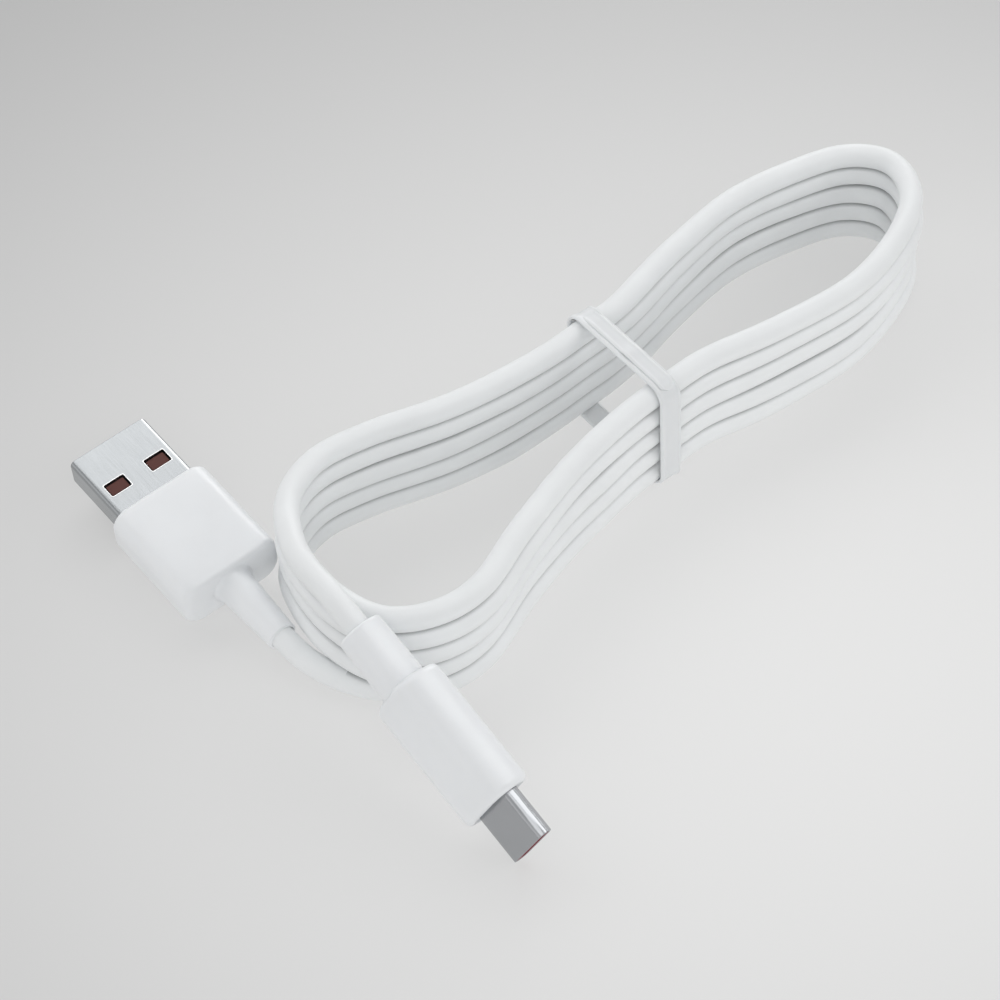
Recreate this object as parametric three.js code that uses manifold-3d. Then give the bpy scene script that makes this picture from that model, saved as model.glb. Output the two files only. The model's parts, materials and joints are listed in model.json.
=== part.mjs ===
// USB-A to USB-C charging cable, wound into a five-row hank that is narrow in the middle and held by a
// flat strip tie. Millimetres, +Z up. The hank lies along X, the origin is the centre of the tie's
// underside, and both plugs leave the hank at its -X end.
import * as THREE from "three";
import { mergeVertices } from "three/addons/utils/BufferGeometryUtils.js";
import Module from "manifold-3d";

const wasm = await Module();
wasm.setup();

// ---------------------------------------------------------------- driving dimensions
const cordDiameter = 3.4;
const cordRadius = cordDiameter / 2;
const rowCount = 5;
const rowPitch = 3.35;
const hankHeight = cordDiameter + rowPitch * (rowCount - 1);
const clearance = 0.3; // between touching pieces of the hank, the leads and the tie
const fit = 0.1; // between pieces that sit inside a plug

// The middle of one turn in plan, counter-clockwise from the waist's near side.
const turnPlan = [
  [-8, -7.6], [0, -7.5], [8, -7.9], [20, -10.4], [33, -12.2], [44, -10.4], [52.3, -6.2],
  [55.8, 0.3], [52.8, 5.8], [45.5, 9], [34, 11.3], [21, 10.1], [8, 7.7], [0, 7.5],
  [-9, 7.8], [-22, 10], [-34, 14], [-42, 15.3], [-49.3, 12.3], [-53.6, 5.2], [-55.5, -3],
  [-54, -10.4], [-48.5, -14.6], [-41.2, -15.3], [-31, -12], [-19, -8.9],
];

// Each plug's place: the centre of its housing's front face, then the heading of its nose in plan, the
// rise of its nose and the roll of its right side downwards, in degrees.
const usbAPlace = { at: [-55.4, 31.2, 5.3], heading: 83.8, rise: 4, roll: -6 };
const usbCPlace = { at: [-59.5, -36.05, 6.65], heading: -92, rise: -23.5, roll: 78 };

// Inside each plug z runs along the plug, 0 at the housing's front face and + towards the nose, x runs
// across its width and y through its thickness.
const usbA = {
  shellWidth: 12,
  shellHeight: 4.5,
  shellWall: 0.3,
  shellFront: 11.75,
  shellRear: -6.5,
  holeX: 3.2,
  holeZ: 4.55,
  holeWidth: 3.2,
  holeLength: 2.3,
  housingWidth: 15,
  housingHeight: 7.4,
  housingLength: 16.6,
  housingCorner: 2.6,
  contactX: [-3.5, -1, 1, 3.5],
  reliefRear: -27.5,
  reliefRoot: 2.6,
  reliefTip: 2.05,
};
const usbC = {
  shellWidth: 8.25,
  shellHeight: 2.4,
  shellWall: 0.25,
  shellFront: 6.65,
  shellRear: -4.5,
  housingWidth: 11.2,
  housingHeight: 6.5,
  housingLength: 18.2,
  housingCorner: 3,
  contactPitch: 0.5,
  upperContacts: [1, 4, 5, 6, 7, 9, 12],
  lowerContacts: [1, 4, 9, 12],
  reliefRear: -27.2,
  reliefRoot: 3.2,
  reliefTip: 3.05,
};

// The tie is one flat strip whose free end lies back over its top.
const tie = { width: 3.8, thickness: 0.6, bend: 1.2, turn: -6, slide: 2, tailStart: -8.6, tailEnd: 2.5 };
const waistHalfWidth = 7.6; // from the middle of the hank to the middle of either arm, at the tie

// ---------------------------------------------------------------- materials
function material(color, roughness, metalness = 0) {
  return new THREE.MeshStandardMaterial({ color, roughness, metalness });
}
const finish = {
  jacket: material(0xe6e9ea, 0.45),
  housing: material(0xe9ebec, 0.4),
  tie: material(0xe2e4e6, 0.35),
  steel: material(0xb9bec4, 0.25, 1),
  brownPlastic: material(0x6b463d, 0.55),
  redPlastic: material(0x6e2c36, 0.5),
  gold: material(0xd4af5a, 0.3, 1),
  mould: material(0xd9d4c6, 0.6),
  board: material(0x1f6b45, 0.5),
  ceramic: material(0x222426, 0.4),
  copperCrimp: material(0xb87348, 0.4, 1),
};
const wireColours = {
  red: material(0xc23a34, 0.5),
  white: material(0xe8e8e4, 0.5),
  green: material(0x3a8f4f, 0.5),
  black: material(0x202020, 0.5),
};

// ---------------------------------------------------------------- solids
function solid(geometry) {
  const bare = geometry.clone();
  bare.deleteAttribute("normal");
  bare.deleteAttribute("uv");
  const merged = mergeVertices(bare, 1e-4);
  return new wasm.Manifold(
    new wasm.Mesh({
      numProp: 3,
      vertProperties: merged.attributes.position.array,
      triVerts: new Uint32Array(merged.index.array),
    }),
  );
}

function geometryOf(body) {
  const { vertProperties, triVerts } = body.getMesh();
  const geometry = new THREE.BufferGeometry();
  geometry.setAttribute("position", new THREE.BufferAttribute(vertProperties, 3));
  geometry.setIndex(new THREE.BufferAttribute(triVerts, 1));
  return geometry;
}

function mesh(name, shape, look) {
  const geometry = shape.isBufferGeometry ? shape : geometryOf(shape);
  const made = new THREE.Mesh(geometry, look);
  made.name = name;
  return made;
}

function box(width, height, z0, z1, x = 0, y = 0) {
  const made = new THREE.BoxGeometry(width, height, z1 - z0);
  return made.translate(x, y, (z0 + z1) / 2);
}

// A rectangle with round corners, or an oval where the corner is half the height.
function roundedRectangle(width, height, corner, segments = 4) {
  const points = [];
  const corners = [[1, 1], [-1, 1], [-1, -1], [1, -1]];
  corners.forEach(([sideX, sideY], quarter) => {
    for (let step = 0; step <= segments; step++) {
      const angle = ((quarter + step / segments) * Math.PI) / 2;
      const x = sideX * (width / 2 - corner) + corner * Math.cos(angle);
      const y = sideY * (height / 2 - corner) + corner * Math.sin(angle);
      points.push(new THREE.Vector2(x, y));
    }
  });
  return new THREE.Shape(points);
}

function prism(shape, z0, z1) {
  const made = new THREE.ExtrudeGeometry(shape, { depth: z1 - z0, bevelEnabled: false });
  return made.translate(0, 0, z0);
}

// A prism whose two ends are rounded off by `round`.
function softPrism(width, height, corner, z0, z1, round, segments = 4) {
  const shape = roundedRectangle(width - 2 * round, height - 2 * round, corner - round, segments);
  const made = new THREE.ExtrudeGeometry(shape, {
    depth: z1 - z0 - 2 * round,
    bevelSize: round,
    bevelThickness: round,
    bevelSegments: 2,
  });
  return made.translate(0, 0, z0 + round);
}

function rod(radius, z0, z1, sides = 12) {
  const made = new THREE.CylinderGeometry(radius, radius, z1 - z0, sides);
  return made.rotateX(Math.PI / 2).translate(0, 0, (z0 + z1) / 2);
}

// A cone frustum along z with a radius at each end.
function taper(radius0, z0, radius1, z1, sides = 16) {
  const made = new THREE.CylinderGeometry(radius1, radius0, z1 - z0, sides);
  return made.rotateX(Math.PI / 2).translate(0, 0, (z0 + z1) / 2);
}

function tube(curve, radius, steps, sides = 8) {
  const section = new THREE.Shape();
  for (let side = 0; side < sides; side++) {
    const angle = (side / sides) * 2 * Math.PI;
    const [x, y] = [radius * Math.cos(angle), radius * Math.sin(angle)];
    if (side === 0) section.moveTo(x, y);
    else section.lineTo(x, y);
  }
  return new THREE.ExtrudeGeometry(section, { steps, extrudePath: curve });
}

function curveThrough(points, closed = false) {
  const vectors = points.map(([x, y, z = 0]) => new THREE.Vector3(x, y, z));
  return new THREE.CatmullRomCurve3(vectors, closed, "catmullrom", 0.5);
}

// ---------------------------------------------------------------- places of the plugs
function plugGroup({ at, heading, rise, roll }) {
  const [h, p, r] = [heading, rise, roll].map(THREE.MathUtils.degToRad);
  const nose = new THREE.Vector3(
    Math.cos(h) * Math.cos(p),
    Math.sin(h) * Math.cos(p),
    Math.sin(p),
  );
  const right = new THREE.Vector3(Math.sin(h), -Math.cos(h), 0);
  const up = right.clone().cross(nose);
  const across = right.clone().multiplyScalar(-Math.cos(r)).addScaledVector(up, Math.sin(r));
  const through = right.clone().multiplyScalar(Math.sin(r)).addScaledVector(up, Math.cos(r));
  const group = new THREE.Group();
  group.setRotationFromMatrix(new THREE.Matrix4().makeBasis(across, through, nose));
  group.position.set(...at);
  return group;
}

// The point about which a plug swings: the round end of its lead, just behind its strain relief.
function leadEnd(place, reliefRear) {
  const group = plugGroup(place);
  group.updateMatrixWorld(true);
  const behind = reliefRear - clearance - cordRadius;
  return new THREE.Vector3(0, 0, behind).applyMatrix4(group.matrixWorld).toArray();
}

// ---------------------------------------------------------------- the two leads and the hank
const usbALeadRoute = [
  leadEnd(usbAPlace, usbA.reliefRear),
  [-58.1, -1.8, 2.4],
  [-56.7, -6, 1.85],
  [-54, -10.4, cordRadius + 0.05],
  [-48.5, -14.6, cordRadius + 0.05],
];
const usbCLeadRoute = [
  leadEnd(usbCPlace, usbC.reliefRear),
  [-57.7, -4.9, 19.4],
  [-56.6, 0.2, 18.6],
  [-54, 5.6, 16.9],
  [-49.3, 12.3, 15.5],
  [-42, 15.3, hankHeight - cordRadius],
];

// A lead has a round end at its plug, where the plug swings, and a flat end in the hank.
function lead(route, radius) {
  const stretch = solid(tube(curveThrough(route), radius, 10));
  const ball = new THREE.SphereGeometry(radius, 10, 8).translate(...route[0]);
  return stretch.add(solid(ball));
}

// The room that a lead takes out of the hank: the lead grown by the clearance, and past its flat end.
function leadRoom(route) {
  const radius = cordRadius + clearance;
  const curve = curveThrough(route);
  const [end, along] = [curve.getPoint(1), curve.getTangent(1)];
  const inside = end.clone().addScaledVector(along, -1);
  const beyond = end.clone().addScaledVector(along, clearance);
  return lead(route, radius).add(solid(tube(new THREE.LineCurve3(inside, beyond), radius, 1)));
}

function hankRing() {
  const round = 1.1;
  const stations = 78;
  const middle = curveThrough(turnPlan, true);
  const outline = (offset) =>
    Array.from({ length: stations }, (_, i) => {
      const point = middle.getPointAt(i / stations);
      const along = middle.getTangentAt(i / stations);
      return new THREE.Vector2(point.x + along.y * offset, point.y - along.x * offset);
    });
  const ring = new THREE.Shape(outline(cordRadius - round));
  ring.holes.push(new THREE.Path(outline(round - cordRadius)));
  const made = new THREE.ExtrudeGeometry(ring, {
    depth: hankHeight - 2 * round,
    bevelSize: round,
    bevelThickness: round,
    bevelSegments: 2,
  });
  return solid(made.translate(0, 0, round));
}

function hank() {
  const tieSkew = 2 * waistHalfWidth * Math.sin(THREE.MathUtils.degToRad(Math.abs(tie.turn)));
  const tieRoom = tie.width + tieSkew + 2 * (tie.slide + clearance);
  const channel = box(tieRoom, 40, -1, tie.thickness + clearance);
  const cut = hankRing()
    .subtract(leadRoom(usbALeadRoute))
    .subtract(leadRoom(usbCLeadRoute))
    .subtract(solid(channel));
  const pieces = cut.decompose().sort((a, b) => b.volume() - a.volume());
  return pieces[0]; // the rest is a sliver left beside a lead's groove
}

// ---------------------------------------------------------------- the tie
function tieBand() {
  const halfSpan = waistHalfWidth + cordRadius + 0.5;
  const innerTop = hankHeight + clearance;
  const t = tie.thickness;
  const frame = (grow, corner) => {
    const shape = roundedRectangle(2 * (halfSpan + grow), innerTop - t + 2 * grow, corner, 3);
    return shape.getPoints();
  };
  const section = new THREE.Shape(frame(t, tie.bend));
  section.holes.push(new THREE.Path(frame(0, tie.bend - t)));
  const band = new THREE.ExtrudeGeometry(section, { depth: tie.width, bevelEnabled: false });
  const tailLength = tie.tailEnd - tie.tailStart;
  const tail = new THREE.BoxGeometry(tailLength, t + 0.05, tie.width);
  const middleHeight = (innerTop + t) / 2;
  tail.translate((tie.tailStart + tie.tailEnd) / 2, innerTop + 1.5 * t - middleHeight, tie.width / 2);
  const strip = geometryOf(solid(band).add(solid(tail)));
  strip.translate(0, middleHeight, -tie.width / 2);
  strip.rotateX(Math.PI / 2).rotateZ(Math.PI / 2);
  return strip.rotateZ(THREE.MathUtils.degToRad(tie.turn));
}

// ---------------------------------------------------------------- pieces that both plugs have
// The cord's end inside the plug, its ferrule and its four wires, from the strain relief to `tips`.
function cordEnd(prefix, reliefRear, jacketFront, tips) {
  const pieces = [];
  pieces.push(mesh(prefix + "_cord_end", rod(cordRadius, reliefRear + fit, jacketFront), finish.jacket));
  const ferrule = solid(rod(cordRadius + 0.35, jacketFront - 1.7, jacketFront - 0.1));
  const bore = solid(rod(cordRadius + fit, jacketFront - 4, jacketFront + 1));
  pieces.push(mesh(prefix + "_crimp_ferrule", ferrule.subtract(bore), finish.copperCrimp));
  const starts = [[-0.55, -0.55], [-0.55, 0.55], [0.55, 0.55], [0.55, -0.55]];
  Object.keys(wireColours).forEach((colour, i) => {
    const [x0, y0] = starts[i];
    const [x1, y1, z1] = tips[i];
    const z0 = jacketFront + 3 * fit;
    const route = curveThrough([[x0, y0, z0], [(x0 + x1) / 2, (y0 + y1) / 2, (z0 + z1) / 2], [x1, y1, z1]]);
    pieces.push(mesh(`${prefix}_wire_${colour}`, tube(route, 0.38, 5, 6), wireColours[colour]));
  });
  return pieces;
}

// A soft sleeve round the cord, held by a neck and a collar inside the housing's rear wall.
function strainRelief(name, rear, tipRadius, housingRear, rootRadius, neck) {
  const body = solid(taper(tipRadius, rear, rootRadius, housingRear - fit))
    .add(solid(rod(neck, housingRear - 1, housingRear + 1.5)));
  const bore = solid(rod(cordRadius + fit, rear - 1, housingRear + 3));
  return mesh(name, body.subtract(bore), finish.jacket);
}

// A housing: a soft outer block with a cavity, an opening in front and a round hole behind.
function plugHousing(name, plug, cavity, opening, neck) {
  const { housingWidth, housingHeight, housingCorner, housingLength } = plug;
  const rearWall = 1.1;
  const frontWall = 1;
  const outer = solid(softPrism(housingWidth, housingHeight, housingCorner, -housingLength, 0, 0.8));
  const hollow = solid(box(...cavity, -housingLength + rearWall, -frontWall));
  const front = solid(prism(opening, -frontWall - 1, 1));
  const rear = solid(rod(neck + fit, -housingLength - 1, -housingLength + rearWall + 1));
  return mesh(name, outer.subtract(hollow).subtract(front).subtract(rear), finish.housing);
}

// ---------------------------------------------------------------- USB-A plug
function usbAShell() {
  const { shellWidth: w, shellHeight: h, shellWall: wall, shellFront, shellRear } = usbA;
  const outer = solid(prism(roundedRectangle(w, h, 0.5, 2), shellRear, shellFront));
  const inner = roundedRectangle(w - 2 * wall, h - 2 * wall, 0.2, 2);
  let shell = outer.subtract(solid(prism(inner, shellRear - 1, shellFront + 1)));
  for (const x of [-usbA.holeX, usbA.holeX]) {
    const [z0, z1] = [usbA.holeZ - usbA.holeLength / 2, usbA.holeZ + usbA.holeLength / 2];
    shell = shell.subtract(solid(box(usbA.holeWidth, 2 * h, z0, z1, x)));
  }
  return mesh("usb_a_shell", shell, finish.steel);
}

// The insulator: a flat tongue under the shell's top, with a block behind it that the contacts pass.
function usbAInsulator() {
  const width = usbA.shellWidth - 2 * usbA.shellWall - 2 * fit;
  const halfHeight = usbA.shellHeight / 2 - usbA.shellWall - fit;
  const tongue = solid(box(width, halfHeight - 0.15, usbA.shellRear + 0.2, 11.3, 0, (halfHeight + 0.15) / 2));
  let body = tongue.add(solid(box(width, 2 * halfHeight, usbA.shellRear + 0.2, -0.6)));
  for (const x of usbA.contactX) {
    body = body.subtract(solid(box(1.4, 0.45, usbA.shellRear - 1, 0, x, -0.05)));
  }
  return mesh("usb_a_insulator", body, finish.brownPlastic);
}

function usbAContacts() {
  const [long, short] = [10.6, 9.6]; // power contacts reach further forward than the data pair
  return usbA.contactX.map((x, i) => {
    const front = Math.abs(x) > 2 ? long : short;
    return mesh(`usb_a_contact_${i + 1}`, box(1.1, 0.25, -9, front, x, -0.03), finish.gold);
  });
}

function usbAInnerMould() {
  const outer = solid(softPrism(12.6, 5.4, 1.4, -13, -6.7, 0.4, 2));
  const hollow = solid(box(11, 3.8, -12, -6));
  const cableHole = solid(box(3.6, 3.6, -14, -11));
  return mesh("usb_a_inner_mould", outer.subtract(hollow).subtract(cableHole), finish.mould);
}

function usbAPlug() {
  const plug = plugGroup(usbAPlace);
  const rear = -usbA.housingLength;
  const neck = 2.4;
  const opening = roundedRectangle(usbA.shellWidth + 2 * fit, usbA.shellHeight + 2 * fit, 0.6, 2);
  const wireTips = usbA.contactX.map((x) => [x, -0.8, -8]);
  plug.add(
    usbAShell(),
    usbAInsulator(),
    ...usbAContacts(),
    usbAInnerMould(),
    plugHousing("usb_a_housing", usbA, [12.9, 5.7], opening, neck),
    strainRelief("usb_a_strain_relief", usbA.reliefRear, usbA.reliefTip, rear, usbA.reliefRoot, neck),
    ...cordEnd("usb_a", usbA.reliefRear, -13.3, wireTips),
  );
  return plug;
}

// ---------------------------------------------------------------- USB-C plug
function oval(width, height, segments = 5) {
  return roundedRectangle(width, height, height / 2, segments);
}

function usbCShell() {
  const { shellWidth: w, shellHeight: h, shellWall: wall, shellFront, shellRear } = usbC;
  const outer = solid(prism(oval(w, h), shellRear, shellFront));
  const inner = solid(prism(oval(w - 2 * wall, h - 2 * wall), shellRear - 1, shellFront + 1));
  return mesh("usb_c_shell", outer.subtract(inner), finish.steel);
}

function usbCInsulator() {
  const width = usbC.shellWidth - 2 * usbC.shellWall - 2 * fit;
  const height = usbC.shellHeight - 2 * usbC.shellWall - 2 * fit;
  const outer = solid(prism(oval(width, height, 4), usbC.shellRear, usbC.shellFront - 0.25));
  const mouth = solid(box(6.7, 0.9, usbC.shellRear - 1, usbC.shellFront + 1));
  return mesh("usb_c_insulator", outer.subtract(mouth), finish.redPlastic);
}

// Contacts of one row, at the standard's twelve places; side is 1 for the upper row, -1 for the lower.
function usbCContacts(row, numbers, side) {
  return numbers.map((number) => {
    const x = side * (number - 6.5) * usbC.contactPitch;
    const shape = box(0.25, 0.12, -6, usbC.shellFront - 0.8, x, side * 0.36);
    return mesh(`usb_c_contact_${row}${number}`, shape, finish.gold);
  });
}

// The latch: a steel plate between the two rows with an arm down each side of the mouth.
function usbCLatch() {
  const [halfWidth, armWidth, armFront, plateFront, plateRear] = [3.25, 0.35, 5.4, -0.6, -4.3];
  const outline = [
    [-halfWidth, plateRear], [halfWidth, plateRear], [halfWidth, armFront],
    [halfWidth - armWidth, armFront], [halfWidth - armWidth, plateFront],
    [armWidth - halfWidth, plateFront], [armWidth - halfWidth, armFront], [-halfWidth, armFront],
  ];
  const shape = new THREE.Shape(outline.map(([x, z]) => new THREE.Vector2(x, -z)));
  const plate = new THREE.ExtrudeGeometry(shape, { depth: 0.16, bevelEnabled: false });
  plate.translate(0, 0, -0.08).rotateX(-Math.PI / 2);
  return mesh("usb_c_latch", plate, finish.steel);
}

function usbCBoard() {
  const board = mesh("usb_c_circuit_board", box(7.8, 0.4, -10.4, -4.8), finish.board);
  const resistor = mesh("usb_c_pull_up_resistor", box(0.6, 0.25, -8, -7, 2.6, 0.38), finish.ceramic);
  return [board, resistor];
}

function usbCInnerMould() {
  const outer = solid(softPrism(9.3, 4.6, 1.6, -13.2, -4.9, 0.4, 2));
  const hollow = solid(box(8.2, 2.9, -12.2, -4));
  const cableHole = solid(box(3.6, 2.8, -14, -11));
  return mesh("usb_c_inner_mould", outer.subtract(hollow).subtract(cableHole), finish.mould);
}

function usbCPlug() {
  const plug = plugGroup(usbCPlace);
  const rear = -usbC.housingLength;
  const neck = 2.3;
  const opening = oval(usbC.shellWidth + 2 * fit, usbC.shellHeight + 2 * fit);
  const wireTips = [[-2.6, -0.7, -9.2], [-1.2, 0.7, -9.2], [1.2, 0.7, -9.2], [2.6, -0.7, -9.2]];
  plug.add(
    usbCShell(),
    usbCInsulator(),
    ...usbCContacts("a", usbC.upperContacts, 1),
    ...usbCContacts("b", usbC.lowerContacts, -1),
    usbCLatch(),
    ...usbCBoard(),
    usbCInnerMould(),
    plugHousing("usb_c_housing", usbC, [9.5, 4.9], opening, neck),
    strainRelief("usb_c_strain_relief", usbC.reliefRear, usbC.reliefTip, rear, usbC.reliefRoot, neck),
    ...cordEnd("usb_c", usbC.reliefRear, -13.5, wireTips),
  );
  return plug;
}

// ---------------------------------------------------------------- the whole cable
const cable = new THREE.Group();
cable.add(
  mesh("cord_hank", hank(), finish.jacket),
  mesh("cord_lead_usb_a", lead(usbALeadRoute, cordRadius), finish.jacket),
  mesh("cord_lead_usb_c", lead(usbCLeadRoute, cordRadius), finish.jacket),
  mesh("cord_tie", tieBand(), finish.tie),
  usbAPlug(),
  usbCPlug(),
);

export default cable;
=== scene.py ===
import json
import math

import bmesh
import bpy
import numpy as np
from mathutils import Matrix, Vector


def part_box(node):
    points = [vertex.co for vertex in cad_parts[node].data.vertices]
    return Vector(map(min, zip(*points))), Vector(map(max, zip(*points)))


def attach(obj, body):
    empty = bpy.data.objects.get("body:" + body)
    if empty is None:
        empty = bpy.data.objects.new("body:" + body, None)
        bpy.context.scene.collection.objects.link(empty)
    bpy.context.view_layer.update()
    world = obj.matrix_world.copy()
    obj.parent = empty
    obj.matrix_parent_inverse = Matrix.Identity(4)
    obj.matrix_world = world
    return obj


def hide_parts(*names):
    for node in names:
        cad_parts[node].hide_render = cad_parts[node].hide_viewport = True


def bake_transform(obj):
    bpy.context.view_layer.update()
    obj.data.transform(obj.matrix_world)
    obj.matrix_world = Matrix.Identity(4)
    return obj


# The looks of a white charging cable: a cord wound into an upright hank, the strip tie round its waist and
# the two plugs. Lengths of the whole object are in metres; a piece of a plug is drawn in millimetres in the
# plug's own frame, with z towards its nose, x across its width and y through its thickness.

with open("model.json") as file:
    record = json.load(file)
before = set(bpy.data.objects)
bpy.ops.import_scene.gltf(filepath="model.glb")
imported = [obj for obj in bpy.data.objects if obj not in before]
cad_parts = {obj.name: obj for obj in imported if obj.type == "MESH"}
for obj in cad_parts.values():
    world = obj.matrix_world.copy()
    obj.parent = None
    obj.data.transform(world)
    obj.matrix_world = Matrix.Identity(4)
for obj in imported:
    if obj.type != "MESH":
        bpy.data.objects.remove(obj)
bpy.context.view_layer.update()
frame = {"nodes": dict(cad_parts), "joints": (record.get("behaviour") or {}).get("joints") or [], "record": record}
record = frame["record"]
MM = 0.001


# ---------------------------------------------------------------- the frame's own places
usb_a_contacts_ahead = 0.8 * MM  # the middles of the USB-A contacts, before the housing's front face
usb_c_contacts_behind = 0.075 * MM  # the middles of the USB-C contacts, behind the housing's front face


def joint_place(name):
    joint = next(j for j in frame["joints"] if j["name"] == name)
    return Vector(joint["pos_m"])


def middle_of(node):
    low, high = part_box(node)
    return (low + high) / 2


def plug_frame(across, nose, origin):
    """The matrix that takes a plug's own frame, in metres, to the object's frame."""
    across, nose = across.normalized(), nose.normalized()
    through = nose.cross(across)
    place = Matrix((across, through, nose)).transposed().to_4x4()
    place.translation = origin
    return place


def usb_a_frame():
    """From the two outer contacts and the nose's mount, with its origin on the housing's front face."""
    left, right = middle_of("usb_a_contact_1"), middle_of("usb_a_contact_4")
    mount = next(m for m in record["mounts"] if m["name"] == "usb_a_plug_nose")
    nose = Vector(mount["axis"]).normalized()
    return plug_frame(right - left, nose, (left + right) / 2 - usb_a_contacts_ahead * nose)


def usb_c_frame():
    """From the outer contacts of both rows, with its origin on the housing's front face."""
    a1, a12 = middle_of("usb_c_contact_a1"), middle_of("usb_c_contact_a12")
    b1, b12 = middle_of("usb_c_contact_b1"), middle_of("usb_c_contact_b12")
    across = a12 - a1
    nose = across.cross(a1 + a12 - b1 - b12).normalized()
    return plug_frame(across, nose, (a1 + a12 + b1 + b12) / 4 + usb_c_contacts_behind * nose)


usb_a_place = usb_a_frame()
usb_c_place = usb_c_frame()
usb_a_pivot = joint_place("usb_a_plug_swing")
usb_c_pivot = joint_place("usb_c_plug_swing")


# ---------------------------------------------------------------- camera
def aim(thing, target):
    thing.rotation_euler = (target - thing.location).to_track_quat("-Z", "Y").to_euler()


def make_camera():
    elevation, heading = math.radians(47), math.radians(45)
    distance, lens = 0.42, 112.7
    target = Vector((-0.0197, 0.0035, 0))
    level = Vector((math.sin(heading), math.cos(heading), 0))
    forward = level * math.cos(elevation) - Vector((0, 0, math.sin(elevation)))
    camera = bpy.data.objects.new("camera", bpy.data.cameras.new("camera"))
    camera.data.sensor_width = 36
    camera.data.lens = lens
    camera.data.clip_start = 0.01
    camera.location = target - distance * forward
    aim(camera, target)
    bpy.context.scene.collection.objects.link(camera)
    bpy.context.scene.camera = camera


make_camera()


# ---------------------------------------------------------------- materials
noise_low, noise_high = 0.3, 0.7  # the middle part of a noise, where nearly all of its values are


def node_material(name):
    made = bpy.data.materials.new(name)
    made.use_nodes = True
    return made, made.node_tree.nodes, made.node_tree.links, made.node_tree.nodes["Principled BSDF"]


def noise(nodes, links, scale, detail=3.0, stretch=(1, 1, 1)):
    """A noise in the piece's own frame, with `scale` cells to the metre."""
    place = nodes.new("ShaderNodeTexCoord")
    mapping = nodes.new("ShaderNodeMapping")
    mapping.inputs["Scale"].default_value = stretch
    texture = nodes.new("ShaderNodeTexNoise")
    texture.inputs["Scale"].default_value = scale
    texture.inputs["Detail"].default_value = detail
    links.new(place.outputs["Object"], mapping.inputs["Vector"])
    links.new(mapping.outputs["Vector"], texture.inputs["Vector"])
    return texture.outputs["Fac"]


def ranged(nodes, links, value, low, high, into):
    """Spreads a noise's middle part over low to high, and puts it into a socket."""
    spread = nodes.new("ShaderNodeMapRange")
    spread.inputs["From Min"].default_value = noise_low
    spread.inputs["From Max"].default_value = noise_high
    spread.inputs["To Min"].default_value = low
    spread.inputs["To Max"].default_value = high
    links.new(value, spread.inputs["Value"])
    links.new(spread.outputs["Result"], into)


def tinted(nodes, links, value, colour, change, into):
    """The colour, darkened by up to `change` where the noise is low."""
    ramp = nodes.new("ShaderNodeValToRGB")
    ramp.color_ramp.elements[0].position = noise_low
    ramp.color_ramp.elements[1].position = noise_high
    ramp.color_ramp.elements[0].color = [c * (1 - change) for c in colour] + [1]
    ramp.color_ramp.elements[1].color = [*colour, 1]
    links.new(value, ramp.inputs["Fac"])
    links.new(ramp.outputs["Color"], into)


def bumped(nodes, links, value, height, strength, shader):
    bump = nodes.new("ShaderNodeBump")
    bump.inputs["Distance"].default_value = height
    bump.inputs["Strength"].default_value = strength
    links.new(value, bump.inputs["Height"])
    links.new(bump.outputs["Normal"], shader.inputs["Normal"])


def painted_groove_shade(nodes, links, groove_shade, into):
    """Painted shade: a socket for a colour, which loses up to the share `groove_shade` where the piece nearly
    meets itself.
    """
    reach, closed, fully_open = 0.9 * MM, 0.35, 0.9
    crevice = nodes.new("ShaderNodeAmbientOcclusion")
    crevice.only_local = True
    crevice.samples = 8
    crevice.inputs["Distance"].default_value = reach
    share = nodes.new("ShaderNodeMapRange")
    share.inputs["From Min"].default_value = closed
    share.inputs["From Max"].default_value = fully_open
    share.inputs["To Min"].default_value = 1 - groove_shade
    share.inputs["To Max"].default_value = 1
    shade = nodes.new("ShaderNodeVectorMath")
    shade.operation = "SCALE"
    links.new(crevice.outputs["AO"], share.inputs["Value"])
    links.new(share.outputs["Result"], shade.inputs["Scale"])
    links.new(shade.outputs["Vector"], into)
    return shade.inputs[0]


def plastic(name, colour, roughness, grain=2600, depth=0.02, glow=0.0, specular=0.5, groove_shade=0.0):
    """Moulded plastic: a fine grain, a faint mottling and uneven gloss.

    The grain's depth is in millimetres, glow is the share of light that the plastic scatters inside itself,
    and groove_shade is the share of its colour that it loses in its own grooves, as painted shade.
    """
    mottle, mottle_cells, gloss_cells = 0.03, 160, 420
    made, nodes, links, shader = node_material(name)
    into = shader.inputs["Base Color"]
    if groove_shade:
        into = painted_groove_shade(nodes, links, groove_shade, into)
    tinted(nodes, links, noise(nodes, links, mottle_cells), colour, mottle, into)
    gloss = noise(nodes, links, gloss_cells)
    ranged(nodes, links, gloss, roughness - 0.04, roughness + 0.05, shader.inputs["Roughness"])
    bumped(nodes, links, noise(nodes, links, grain, 2), depth * MM, 0.35, shader)
    shader.inputs["Specular IOR Level"].default_value = specular
    if glow:
        shader.inputs["Subsurface Weight"].default_value = glow
        shader.inputs["Subsurface Radius"].default_value = (1.0, 0.95, 0.9)
        shader.inputs["Subsurface Scale"].default_value = 0.9 * MM
    return made


def metal(name, colour, roughness, depth=0.004, change=0.06):
    """Rolled metal: fine streaks along z in the piece's own frame, in its gloss and its surface."""
    smudge_cells, streak_cells, along_z = 300, 5200, (1, 1, 0.04)
    made, nodes, links, shader = node_material(name)
    tinted(nodes, links, noise(nodes, links, smudge_cells), colour, change, shader.inputs["Base Color"])
    shader.inputs["Metallic"].default_value = 1
    streaks = noise(nodes, links, streak_cells, 2, along_z)
    ranged(nodes, links, streaks, roughness - 0.03, roughness + 0.05, shader.inputs["Roughness"])
    bumped(nodes, links, streaks, depth * MM, 0.25, shader)
    return made


# The jacket's colour carries painted shade in the grooves between its turns.
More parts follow.
